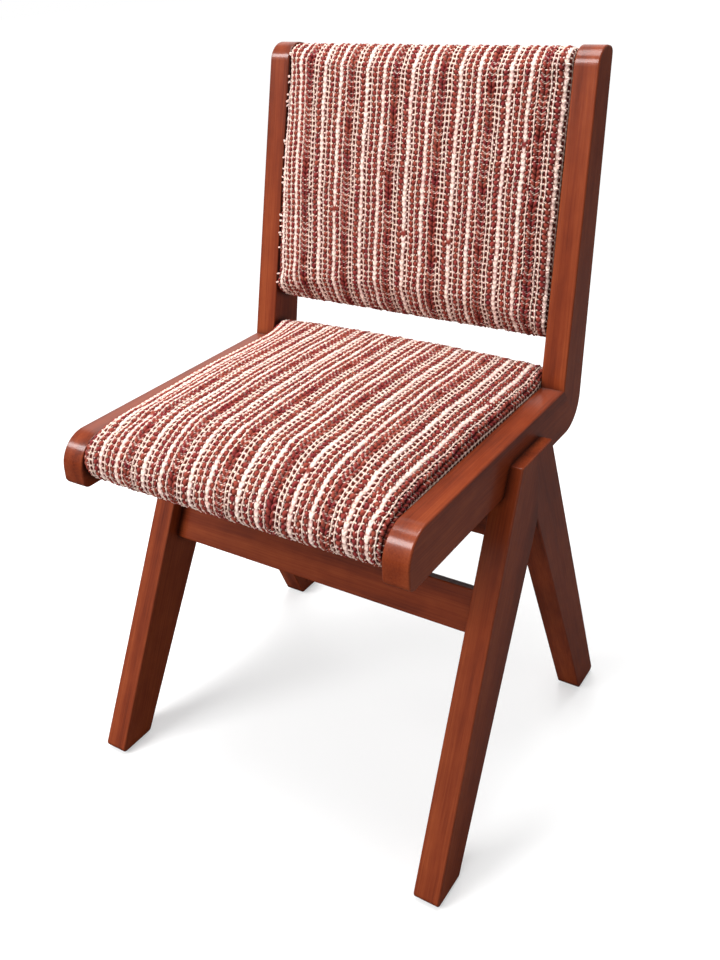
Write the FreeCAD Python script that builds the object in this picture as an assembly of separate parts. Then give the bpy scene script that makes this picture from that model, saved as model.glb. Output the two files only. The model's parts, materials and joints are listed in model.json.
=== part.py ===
import FreeCAD, Part
import math
import os

from FreeCAD import Vector

# Armless dining chair: two mitred side frames on upside-down V legs, tied by crossbars,
# with an upholstered seat and back between them.
# Millimetres, +Z up, the front of the chair towards -Y, the floor at Z = 0.
# Depths are worked out from the front of the seat rails, and each piece is centred when it is written.

# Overall sizes
overall_width = 480.0
overall_height = 820.0
edge_round = 2.0
wall_share = 0.98

# Side frame: seat rail with a rounded nose, back post leaning in degrees
rail_top = 445.0
rail_height = 57.0
rail_thickness = 30.0
seat_depth = 358.0
nose_radius = 36.0
chin_radius = 10.0
heel_radius = 44.0
post_lean = 13.2
post_foot_depth = 55.0
post_head_depth = 39.0
head_front_radius = 26.0
head_rear_radius = 8.0

# Legs: the outer part of each leg laps up over the rail, the rest stands under it
leg_thickness = 30.0
lap_thickness = 15.0
lap_height = 31.0
apex_setback = 251.0
apex_length = 77.0
crotch_height = 336.0
front_leg_reach = 251.0
rear_leg_reach = 187.0
front_foot_length = 51.0
rear_foot_length = 47.0
foot_round = 5.0

# Foot glides: a domed pad with a nail
glide_thickness = 3.0
glide_diameter = 22.0
glide_edge_round = 1.5
glide_nail_diameter = 2.5
glide_nail_length = 16.0

# Crossbars between the legs, parallel to the front face of the leg they join
crossbar_width = 47.0
crossbar_thickness = 25.0
crossbar_height = 244.0
rear_crossbar_lift = 16.0
crossbar_setback = 18.5

# Upholstery
cover_thickness = 3.0
upholstery_gap = 0.5
board_side_gap = 1.0
crown_share = 0.7

# Seat: board on two cross rails, foam over the board and down the cross rails
seat_front_inset = 2.0
seat_rear_overrun = 38.0
seat_crown_rise = 38.0
seat_front_rise = 27.0
seat_rear_rise = 30.0
seat_side_rise = 24.0
seat_roll_radius = 58.0
seat_rear_radius = 36.0
seat_side_radius = 22.0
seat_hem_radius = 10.0
seat_foam_wrap = 22.0
seat_rear_foam_wrap = 36.0
seat_board_drop = 25.0
seat_board_thickness = 9.0
seat_cross_rail_height = 24.0
seat_cross_rail_thickness = 22.0
corner_block_side = 45.0
corner_block_height = 18.0
dust_cover_thickness = 1.0
dust_cover_margin = 25.0

# Back: foam in front of a board on two cross rails, closed by an outside panel
back_gap = 57.0
back_head_inset = 4.0
back_thickness = 36.0
back_crown_rise = 11.0
back_end_rise = 3.0
back_side_rise = 4.0
back_roll_radius = 16.0
back_side_radius = 6.0
back_hem_radius = 5.0
back_foam_wrap = 8.0
back_foam_depth = 12.0
back_board_thickness = 5.0
back_cross_rail_width = 60.0
back_panel_thickness = 3.0

# Dowels and screws
dowel_diameter = 8.0
dowel_length = 36.0
dowel_spacing = 22.0
back_dowel_spacing = 32.0
mitre_dowel_rise = 12.0
dowel_end_room = 0.8
joint_fit = 0.1
screw_diameter = 4.0
screw_head_diameter = 8.0
screw_tip_cover = 5.0
lap_screw_spread = 36.0
board_screw_spread = 240.0

# Worked-out places
rail_bottom = rail_top - rail_height
lap_top = rail_bottom + lap_height
leg_outer = overall_width / 2
leg_inner = leg_outer - leg_thickness
rail_outer = leg_outer - lap_thickness
rail_inner = rail_outer - rail_thickness
pad_half_width = rail_inner - upholstery_gap
lean = math.radians(post_lean)
head_rise = overall_height - rail_top - head_front_radius * (1 - math.sin(lean))
post_length = head_front_radius + head_rise / math.cos(lean)

seat_front = seat_front_inset
seat_rear = seat_depth + seat_rear_overrun
seat_base = rail_top - seat_board_drop
seat_hem = seat_base - seat_cross_rail_height - cover_thickness
seat_rail_front = seat_front + cover_thickness + seat_foam_wrap
seat_rail_rear = seat_rear - cover_thickness - seat_rear_foam_wrap

back_low = back_gap
back_high = post_length - back_head_inset
back_rail_low = back_low + cover_thickness + back_foam_wrap
back_rail_high = back_high - cover_thickness - back_foam_wrap
back_board_rear = back_foam_depth + back_board_thickness
back_rail_rear = back_thickness - back_panel_thickness

lap_screw_length = rail_thickness + lap_thickness - screw_tip_cover
seat_screw_length = seat_board_thickness + seat_cross_rail_height - screw_tip_cover
back_screw_length = back_rail_rear - back_foam_depth - screw_tip_cover

x_axis = Vector(1, 0, 0)
y_axis = Vector(0, 1, 0)
z_axis = Vector(0, 0, 1)
origin = Vector(0, 0, 0)
pieces = {}


def rounded_outline(corners):
    """Closed wire in the YZ plane through corners (y, z, radius), each rounded within its walls."""
    spots = [Vector(0, y, z) for y, z, radius in corners]
    count = len(spots)
    runs = [spots[(index + 1) % count] - spot for index, spot in enumerate(spots)]
    ways = [Vector(run).normalize() for run in runs]
    halves = [(math.pi - ways[index - 1].getAngle(way)) / 2 for index, way in enumerate(ways)]
    cuts = [radius / math.tan(half) for (y, z, radius), half in zip(corners, halves)]
    shares = []
    for index, run in enumerate(runs):
        wanted = cuts[index] + cuts[(index + 1) % count]
        shares.append(min(1, wall_share * run.Length / wanted) if wanted else 1)
    ends = []
    for index, spot in enumerate(spots):
        before = ways[index - 1]
        after = ways[index]
        cut = cuts[index] * min(shares[index - 1], shares[index])
        bow = cut / math.cos(halves[index]) * (1 - math.sin(halves[index]))
        middle = spot + (after - before).normalize() * bow
        ends.append((spot - before * cut, middle, spot + after * cut))
    edges = []
    for index, (first, middle, last) in enumerate(ends):
        edges.append(Part.makeLine(ends[index - 1][2], first))
        if cuts[index]:
            edges.append(Part.Arc(first, middle, last).toShape())
    return Part.Wire(edges)


def prism(corners, x_start, x_end):
    """Solid with a rounded YZ outline that runs along X."""
    shape = Part.Face(rounded_outline(corners)).extrude(x_axis * (x_end - x_start))
    shape.translate(x_axis * x_start)
    return shape


def cross_prism(corners, y_start, y_end):
    """Solid with a rounded XZ outline, symmetric in X, that runs along Y."""
    shape = prism(corners, y_start, y_end)
    shape.rotate(origin, z_axis, 90)
    return shape


def box(x_half, y_start, y_end, z_start, z_end):
    """Block centred on X between two depths and two heights."""
    corner = Vector(-x_half, y_start, z_start)
    return Part.makeBox(2 * x_half, y_end - y_start, z_end - z_start, corner)


def peg(centre, direction, length, diameter):
    """Round peg centred on a point."""
    return Part.makeCylinder(diameter / 2, length, centre - direction * (length / 2), direction)


def dowel(centre, direction):
    """Dowel centred on the joint that it crosses."""
    return peg(centre, direction, dowel_length, dowel_diameter)


def dowel_hole(centre, direction):
    """Hole for a dowel, with glue room at both ends."""
    return peg(centre, direction, dowel_length + 2 * dowel_end_room, dowel_diameter + 2 * joint_fit)


def screw(head, direction, length, fit=0.0):
    """Countersunk screw whose head lies flush at a point, grown by a fit for its hole."""
    head_radius = screw_head_diameter / 2 + fit
    shank_radius = screw_diameter / 2 + fit
    cone = Part.makeCone(head_radius, shank_radius, head_radius - shank_radius, head, direction)
    shank = Part.makeCylinder(shank_radius, length + fit, head, direction)
    return cone.fuse(shank).removeSplitter()


def mirrored(shape):
    """The same shape on the other side of the chair."""
    return shape.mirror(origin, x_axis)


def add_pair(name, shape):
    """Keep a right-hand piece and its mirror image on the left."""
    pieces[name + "_right"] = shape
    pieces[name + "_left"] = mirrored(shape)


def drill_pair(name, holes):
    """Drill a right-hand piece that is already kept, and its mirror image with it."""
    add_pair(name, pieces[name + "_right"].cut(holes))


def add_mirrored_group(name, shapes):
    """Keep right-hand fasteners and their mirror images as one group of separate solids."""
    pieces[name] = Part.makeCompound(shapes + [mirrored(shape) for shape in shapes])


def soften(solid, chosen):
    """Round the chosen edges of a wooden piece by hand-sanding size."""
    return solid.makeFillet(edge_round, [edge for edge in solid.Edges if chosen(edge)])


def lies_on(edge, point, normal):
    """Whether an edge lies in the plane through a point."""
    return all(abs((vertex.Point - point).dot(normal)) < joint_fit for vertex in edge.Vertexes)


def borders(edge, inner, outer):
    """Whether an edge bounds the inner or the outer side of a piece."""
    return lies_on(edge, x_axis * inner, x_axis) or lies_on(edge, x_axis * outer, x_axis)


def stand_up(shape):
    """Turn a piece of the back, modelled lying with its front up, onto the posts' front faces."""
    shape.rotate(origin, x_axis, 90 - post_lean)
    shape.translate(Vector(0, seat_depth, rail_top))
    return shape


def crown_radius(half_run, rise):
    """Radius of the arc that takes up a share of each half of a low crown."""
    return crown_share * half_run ** 2 / rise


def crowned_pad(profile, y_start, y_end, inset, base, side_height, crown_height, side_radius):
    """Upholstered form: a lengthwise profile met by a crosswise one with a low crown."""
    half = pad_half_width - inset
    rise = crown_height - side_height
    across = [(-half, base, 0), (-half, side_height - inset, side_radius),
              (0, crown_height - inset, crown_radius(half, rise)),
              (half, side_height - inset, side_radius), (half, base, 0)]
    return prism(profile, -half, half).common(cross_prism(across, y_start, y_end))


# Side frames


def post_point(along, behind):
    """Point of the post in side view: along its front face from the inner corner, and behind it."""
    y = seat_depth + along * math.sin(lean) + behind * math.cos(lean)
    z = rail_top + along * math.cos(lean) - behind * math.sin(lean)
    return y, z


def side_corners():
    """Outline of rail and post together, and the outer end of the mitre."""
    head_rear = post_point(post_length, post_head_depth)
    foot_rear = (seat_depth + post_foot_depth, rail_top)
    slope = (head_rear[0] - foot_rear[0]) / (head_rear[1] - foot_rear[1])
    heel = (foot_rear[0] - slope * rail_height, rail_bottom)
    corners = [(0, rail_bottom, chin_radius), (0, rail_top, nose_radius), (seat_depth, rail_top, 0),
               (*post_point(post_length, 0), head_front_radius), (*head_rear, head_rear_radius),
               (*heel, heel_radius)]
    return corners, heel


def mitre_frame():
    """Inner corner of the mitre, its direction outwards and its normal towards the post."""
    corner = Vector(0, seat_depth, rail_top)
    heel = side_corners()[1]
    along = (Vector(0, *heel) - corner).normalize()
    return corner, along, Vector(0, -along.z, along.y)


def mitre_dowel_places():
    """Centres of the two dowels across the mitre, either side of the middle of the rail's height."""
    corner, along, normal = mitre_frame()
    middle = corner + x_axis * (rail_inner + rail_thickness / 2) - along * (rail_height / 2 / along.z)
    return [middle + along * ((way * dowel_spacing - mitre_dowel_rise) / 2) for way in (-1, 1)]


def side_frame():
    """Right-hand rail and post, cut from one outline along the mitre."""
    corner, along, normal = mitre_frame()
    whole = prism(side_corners()[0], rail_inner, rail_outer)
    reach = overall_height
    low = corner - along * reach
    high = corner + along * reach
    spots = [low, high, high + normal * reach, low + normal * reach]
    post_room = prism([(spot.y, spot.z, 0) for spot in spots], 0, overall_width)

    def outer_edge(edge):
        return borders(edge, rail_inner, rail_outer) and not lies_on(edge, corner, normal)

    holes = [dowel_hole(place, normal) for place in mitre_dowel_places()]
    rail = soften(whole.cut(post_room), outer_edge).cut(holes)
    post = soften(whole.common(post_room), outer_edge).cut(holes)
    return rail, post


# Legs


def leg_spots():
    """Corners of both legs in side view, by name."""
    return {
        "front_toe": (apex_setback - front_leg_reach, glide_thickness),
        "front_heel": (apex_setback - front_leg_reach + front_foot_length, glide_thickness),
        "rear_toe": (apex_setback + rear_leg_reach - rear_foot_length, glide_thickness),
        "rear_heel": (apex_setback + rear_leg_reach, glide_thickness),
        "crotch": (apex_setback, crotch_height),
        "apex": (apex_setback, lap_top),
        "apex_front": (apex_setback - apex_length / 2, lap_top),
        "apex_rear": (apex_setback + apex_length / 2, lap_top),
    }


def apex_dowel_places():
    """Centres of the dowels that join the legs above the crotch."""
    middle = (crotch_height + rail_bottom) / 2
    return [Vector(rail_outer, apex_setback, middle + way * dowel_spacing / 2) for way in (-1, 1)]


def lap_screw_places():
    """Heads of the screws from the rail into the laps, on the rail's inner face."""
    height = rail_bottom + lap_height / 2
    return [Vector(rail_inner, apex_setback + way * lap_screw_spread / 2, height) for way in (-1, 1)]


def glide_place(toe, heel):
    """Middle of a foot's underside, on the floor."""
    return Vector((leg_inner + leg_outer) / 2, (toe[0] + heel[0]) / 2, 0)


def leg(names, toe, heel):
    """One right-hand leg, notched under the rail, with its holes."""
    spots = leg_spots()
    joint = Vector(0, *spots["apex"])
    rounds = {toe: foot_round, heel: foot_round, "crotch": 0, "apex": 0}
    blank = prism([(*spots[name], rounds.get(name, edge_round)) for name in names], leg_inner, leg_outer)
    shape = soften(blank, lambda edge: borders(edge, leg_inner, leg_outer) and not lies_on(edge, joint, y_axis))
    notch = box(rail_outer, 0, overall_height, rail_bottom, overall_height)
    nail = Part.makeCylinder(glide_nail_diameter / 2 + joint_fit, glide_thickness + glide_nail_length,
                             glide_place(spots[toe], spots[heel]))
    holes = [dowel_hole(place, y_axis) for place in apex_dowel_places()]
    holes += [screw(place, x_axis, lap_screw_length, joint_fit) for place in lap_screw_places()]
    return shape.cut([notch, nail] + holes)


def foot_glide(toe, heel):
    """Pad with a nail driven into the foot."""
    spots = leg_spots()
    place = glide_place(spots[toe], spots[heel])
    pad = Part.makeCylinder(glide_diameter / 2, glide_thickness, place)
    rim = [edge for edge in pad.Edges if lies_on(edge, origin, z_axis) and edge.Closed]
    nail = Part.makeCylinder(glide_nail_diameter / 2, glide_thickness + glide_nail_length - joint_fit, place)
    return pad.makeFillet(glide_edge_round, rim).fuse(nail).removeSplitter()


# Crossbars


def crossbar_frame(foot, top, height):
    """Lower front corner of a crossbar, its direction up the leg and its direction into the leg."""
    start = Vector(0, *foot)
    up = (Vector(0, *top) - start).normalize()
    inwards = Vector(0, up.z, -up.y)
    rise = (height - start.z - crossbar_setback * inwards.z) / up.z
    return start + up * rise + inwards * crossbar_setback, up, inwards


def crossbar(foot, top, height):
    """Bar between the inner faces of a pair of legs, and the places of its right-hand dowels."""
    corner, up, inwards = crossbar_frame(foot, top, height)
    spots = [corner, corner + up * crossbar_width, corner + up * crossbar_width + inwards * crossbar_thickness,
             corner + inwards * crossbar_thickness]
    bar = prism([(spot.y, spot.z, edge_round) for spot in spots], -leg_inner, leg_inner)
    middle = corner + up * (crossbar_width / 2) + inwards * (crossbar_thickness / 2) + x_axis * leg_inner
    places = [middle + up * (way * dowel_spacing / 2) for way in (-1, 1)]
    return bar, places


# Seat


def seat_form(inset):
    """Outside of the seat cover, or of the foam under it when inset by the cover."""
    low = seat_hem + inset
    middle = (seat_front + seat_rear) / 2
    half_run = (seat_rear - seat_front) / 2
    rise = seat_crown_rise - (seat_front_rise + seat_rear_rise) / 2
    profile = [(seat_front + inset, low, seat_hem_radius),
               (seat_front + inset, rail_top + seat_front_rise - inset, seat_roll_radius),
               (middle, rail_top + seat_crown_rise - inset, crown_radius(half_run, rise)),
               (seat_rear - inset, rail_top + seat_rear_rise - inset, seat_rear_radius),
               (seat_rear - inset, low, seat_hem_radius)]
    return crowned_pad(profile, seat_front, seat_rear, inset, low, rail_top + seat_side_rise,
                       rail_top + seat_crown_rise, seat_side_radius)


def corner_block(face, inwards):
    """Right-hand glue block between the inner face of a cross rail and the seat rail."""
    corner = Vector(rail_inner, face, seat_base)
    spots = [corner, corner + inwards * corner_block_side, corner - x_axis * corner_block_side, corner]
    return Part.Face(Part.makePolygon(spots)).extrude(-z_axis * corner_block_height)


def build_seat():
    """Cross rails, corner blocks, board, foam, cover and dust cover of the seat."""
    wide = overall_width
    board_half = pad_half_width - cover_thickness - board_side_gap
    board_top = seat_base + seat_board_thickness
    rail_low = seat_hem + cover_thickness
    rail_spans = {"front": (seat_rail_front, seat_rail_front + seat_cross_rail_thickness),
                  "rear": (seat_rail_rear - seat_cross_rail_thickness, seat_rail_rear)}
    screw_holes = []
    screws = []
    dowels = []
    for name, (start, end) in rail_spans.items():
        middle = (start + end) / 2
        heads = [Vector(way * board_screw_spread / 2, middle, board_top) for way in (-1, 1)]
        screws += [screw(head, -z_axis, seat_screw_length) for head in heads]
        holes = [screw(head, -z_axis, seat_screw_length, joint_fit) for head in heads]
        screw_holes += holes
        place = Vector(rail_inner, middle, (rail_low + seat_base) / 2)
        dowels.append(dowel(place, x_axis))
        ends = [dowel_hole(place, x_axis)]
        blank = box(rail_inner, start, end, rail_low, seat_base)
        pieces["seat_%s_rail" % name] = blank.cut(holes + ends + [mirrored(hole) for hole in ends])
        drill_pair("seat_rail", ends)
        face, inwards = (end, y_axis) if name == "front" else (start, -y_axis)
        add_pair("corner_block_" + name, corner_block(face, inwards))
    add_mirrored_group("seat_rail_dowels", dowels)
    pieces["seat_board_screws"] = Part.makeCompound(screws)

    board = box(board_half, seat_rail_front, seat_rail_rear, seat_base, board_top)
    pieces["seat_board"] = board.cut(screw_holes)
    inner = seat_form(cover_thickness)
    pieces["seat_foam"] = inner.cut(box(wide, seat_rail_front, seat_rail_rear, seat_hem, board_top))
    rail_room = box(wide, seat_rail_front, seat_rail_rear, rail_low, seat_base)
    opening = box(wide, rail_spans["front"][1], rail_spans["rear"][0], seat_hem, rail_low)
    pieces["seat_cover"] = seat_form(0).cut([inner, rail_room, opening])
    pieces["seat_dust_cover"] = box(pad_half_width, seat_front + dust_cover_margin,
                                    seat_rear - dust_cover_margin,
                                    seat_hem - dust_cover_thickness, seat_hem)


# Back, modelled lying with its front up and its lower edge towards -Y


def back_form(inset):
    """Outside of the back cover, or of the foam under it when inset by the cover."""
    middle = (back_low + back_high) / 2
    half_run = (back_high - back_low) / 2
    profile = [(back_low + inset, -back_thickness, back_hem_radius),
               (back_low + inset, back_end_rise - inset, back_roll_radius),
               (middle, back_crown_rise - inset, crown_radius(half_run, back_crown_rise - back_end_rise)),
               (back_high - inset, back_end_rise - inset, back_roll_radius),
               (back_high - inset, -back_thickness, back_hem_radius)]
    return crowned_pad(profile, back_low, back_high, inset, -back_thickness, back_side_rise,
                       back_crown_rise, back_side_radius)


def build_back():
    """Cross rails, board, foam, cover and outside panel of the back."""
    wide = overall_width
    board_half = pad_half_width - cover_thickness - board_side_gap
    rail_spans = {"lower": (back_rail_low, back_rail_low + back_cross_rail_width),
                  "upper": (back_rail_high - back_cross_rail_width, back_rail_high)}
    blanks = []
    screws = []
    screw_holes = []
    dowels = []
    dowel_holes = []
    for name, (start, end) in rail_spans.items():
        middle = (start + end) / 2
        heads = [Vector(way * board_screw_spread / 2, middle, -back_foam_depth) for way in (-1, 1)]
        screws += [screw(head, -z_axis, back_screw_length) for head in heads]
        holes = [screw(head, -z_axis, back_screw_length, joint_fit) for head in heads]
        screw_holes += holes
        depth = -(back_board_rear + back_rail_rear) / 2
        places = [Vector(rail_inner, middle + way * back_dowel_spacing / 2, depth) for way in (-1, 1)]
        ends = [dowel_hole(place, x_axis) for place in places]
        dowels += [stand_up(dowel(place, x_axis)) for place in places]
        dowel_holes += ends
        blank = box(rail_inner, start, end, -back_rail_rear, -back_board_rear)
        blanks.append(blank)
        pieces["back_%s_rail" % name] = stand_up(blank.cut(holes + ends + [mirrored(hole) for hole in ends]))
    add_mirrored_group("back_rail_dowels", dowels)
    pieces["back_board_screws"] = Part.makeCompound([stand_up(item) for item in screws])
    drill_pair("back_post", [stand_up(hole) for hole in dowel_holes])

    board = box(board_half, back_rail_low, back_rail_high, -back_board_rear, -back_foam_depth)
    panel = box(board_half, back_low + cover_thickness + back_hem_radius,
                back_high - cover_thickness - back_hem_radius, -back_thickness, -back_rail_rear)
    inner = back_form(cover_thickness)
    rail_room = box(wide, back_rail_low, back_rail_high, -back_thickness, -back_foam_depth)
    foam = inner.cut([rail_room, panel])
    cover = back_form(0).cut([inner] + blanks)
    pieces["back_board"] = stand_up(board.cut(screw_holes))
    pieces["back_rear_panel"] = stand_up(panel)
    pieces["back_foam"] = stand_up(foam)
    pieces["back_cover"] = stand_up(cover)


def build_frame():
    """Rails, posts, legs, crossbars and glides, with the fasteners that join them."""
    rail, post = side_frame()
    lap_holes = [screw(place, x_axis, lap_screw_length, joint_fit) for place in lap_screw_places()]
    add_pair("seat_rail", rail.cut(lap_holes))
    add_pair("back_post", post)
    add_mirrored_group("mitre_dowels", [dowel(place, mitre_frame()[2]) for place in mitre_dowel_places()])
    add_mirrored_group("apex_dowels", [dowel(place, y_axis) for place in apex_dowel_places()])
    add_mirrored_group("lap_screws", [screw(place, x_axis, lap_screw_length) for place in lap_screw_places()])

    spots = leg_spots()
    leg_kinds = {
        "front": (["front_toe", "front_heel", "crotch", "apex", "apex_front"], "apex_front", "front_toe",
                  crossbar_height),
        "rear": (["rear_toe", "rear_heel", "apex_rear", "apex", "crotch"], "crotch", "rear_toe",
                 crossbar_height + rear_crossbar_lift),
    }
    bar_dowels = []
    for name, (corners, bar_top, bar_foot, bar_height) in leg_kinds.items():
        bar, places = crossbar(spots[bar_foot], spots[bar_top], bar_height)
        holes = [dowel_hole(place, x_axis) for place in places]
        toe = name + "_toe"
        heel = name + "_heel"
        add_pair(name + "_leg", leg(corners, toe, heel).cut(holes))
        add_pair("foot_glide_" + name, foot_glide(toe, heel))
        pieces[name + "_crossbar"] = bar.cut(holes + [mirrored(hole) for hole in holes])
        bar_dowels += [dowel(place, x_axis) for place in places]
    add_mirrored_group("crossbar_dowels", bar_dowels)


build_frame()
build_seat()
build_back()

depth_limits = pieces["back_post_right"].optimalBoundingBox(False)
centring = Vector(0, -depth_limits.YMax / 2, 0)
os.makedirs("parts", exist_ok=True)
for node, shape in pieces.items():
    shape.translate(centring)
    shape.exportStep("parts/%s.step" % node)
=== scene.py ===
"""Looks of an armless dining chair.

The wooden side frames, legs and crossbars keep their solids and get a stained, lacquered finish.
The seat, the back and the outside of the back are padded forms under a striped cloth of looped
yarn. A thin dark cloth closes the underside of the seat.
"""
import json
import logging
import math
from dataclasses import dataclass, replace
from enum import Enum
from functools import reduce
from typing import Any, Callable, Sequence

import bpy
import numpy as np
from mathutils import Euler, Matrix, Vector


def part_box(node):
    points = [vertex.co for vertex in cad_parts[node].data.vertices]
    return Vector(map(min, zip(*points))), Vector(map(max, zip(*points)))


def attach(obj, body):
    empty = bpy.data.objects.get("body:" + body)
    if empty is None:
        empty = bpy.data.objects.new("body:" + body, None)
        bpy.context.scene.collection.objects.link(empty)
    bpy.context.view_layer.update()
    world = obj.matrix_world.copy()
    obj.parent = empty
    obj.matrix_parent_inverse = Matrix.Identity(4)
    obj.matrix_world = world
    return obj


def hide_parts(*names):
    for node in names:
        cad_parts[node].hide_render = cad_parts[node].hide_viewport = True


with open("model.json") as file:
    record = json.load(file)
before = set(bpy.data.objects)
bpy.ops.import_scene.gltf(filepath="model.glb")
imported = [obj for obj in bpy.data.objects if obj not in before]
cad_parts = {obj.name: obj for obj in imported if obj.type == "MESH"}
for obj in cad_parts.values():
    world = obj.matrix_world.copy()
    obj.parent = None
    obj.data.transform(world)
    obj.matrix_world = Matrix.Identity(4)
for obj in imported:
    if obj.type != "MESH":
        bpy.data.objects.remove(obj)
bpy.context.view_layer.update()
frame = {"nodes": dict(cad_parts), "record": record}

LOG = logging.getLogger("chair")
BODY = "root"
MM = 0.001
QUARTER_TURN = math.pi / 2
POST_LEAN = math.radians(13.2)

Array = np.ndarray
Colour = tuple[float, float, float]
Corner = tuple[float, float, float]
Lines = dict[str, Array]
Material = bpy.types.Material
Piece = bpy.types.Object
Socket = bpy.types.NodeSocket


# Small tools


def deselect() -> None:
    """Leave object mode's selection empty."""
    if bpy.context.object and bpy.context.object.mode != "OBJECT":
        bpy.ops.object.mode_set(mode="OBJECT")
    bpy.ops.object.select_all(action="DESELECT")


def make_active(piece: Piece) -> None:
    """Select one object alone and make it the active one."""
    deselect()
    piece.select_set(True)
    bpy.context.view_layer.objects.active = piece


def read_points(piece: Piece) -> Array:
    """Vertex places of a mesh object, one row each."""
    flat = np.empty(len(piece.data.vertices) * 3)
    piece.data.vertices.foreach_get("co", flat)
    return flat.reshape(-1, 3)


def write_points(piece: Piece, points: Array) -> None:
    """Move the vertices of a mesh object to new places."""
    flat = np.ascontiguousarray(points, dtype=np.float32).ravel()
    piece.data.vertices.foreach_set("co", flat)
    piece.data.update()


def unit(vectors: Array) -> Array:
    """Vectors of length one that point the same ways."""
    return vectors / np.linalg.norm(vectors, axis=-1, keepdims=True)


def new_grid(name: str, points: Array) -> tuple[Piece, Array]:
    """Add a grid with its vertices at the given places.

    Args:
        name: Name of the new object.
        points: The place for each (column, row).

    Returns:
        The object, and its vertex numbers in the order of the points.
    """
    across, along = points.shape[0] - 1, points.shape[1] - 1
    deselect()
    bpy.ops.mesh.primitive_grid_add(x_subdivisions=across, y_subdivisions=along, size=1.0)
    piece = bpy.context.object
    piece.name = piece.data.name = name
    flat = read_points(piece)
    column = np.rint((flat[:, 0] + 0.5) * across).astype(int)
    row = np.rint((flat[:, 1] + 0.5) * along).astype(int)
    order = np.empty((across + 1, along + 1), dtype=int)
    order[column, row] = np.arange(len(flat))
    write_points(piece, points[column, row])
    return piece, order.ravel()


def stretch(piece: Piece, factors: Corner) -> None:
    """Scale the mesh of an object and leave the object itself alone."""
    make_active(piece)
    bpy.ops.object.mode_set(mode="EDIT")
    bpy.ops.mesh.select_all(action="SELECT")
    bpy.ops.transform.resize(value=factors)
    bpy.ops.object.mode_set(mode="OBJECT")


def scatter(first: Piece, places: Sequence[Matrix], name: str) -> Piece:
    """Stand a copy of a small piece at each place and join the copies.

    Args:
        first: The piece, which is used up.
        places: Where the copies stand.
        name: Name of the joined piece.

    Returns:
        The joined piece.
    """
    deselect()
    copies = []
    for place in places:
        copy = first.copy()
        copy.data = first.data.copy()
        copy.data.transform(place)
        bpy.context.collection.objects.link(copy)
        copy.select_set(True)
        copies.append(copy)
    bpy.data.objects.remove(first)
    bpy.context.view_layer.objects.active = copies[0]
    bpy.ops.object.join()
    copies[0].name = name
    return copies[0]


def dress(piece: Piece, material: Material, stands_for: Sequence[str] = ()) -> None:
    """Give a new piece its finish and its place in the chair.

    Args:
        piece: The finished object.
        material: Its finish.
        stands_for: The nodes whose place it takes.
    """
    piece.data.materials.append(material)
    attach(piece, BODY)
    if stands_for:
        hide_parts(*stands_for)
    LOG.info("%s: %d faces", piece.name, len(piece.data.polygons))


def cover(node: str, material: Material) -> None:
    """Put one material on all of a node's slots."""
    piece = frame["nodes"][node]
    piece.data.materials.clear()
    piece.data.materials.append(material)
    LOG.info("%s: %s", node, material.name)


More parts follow.
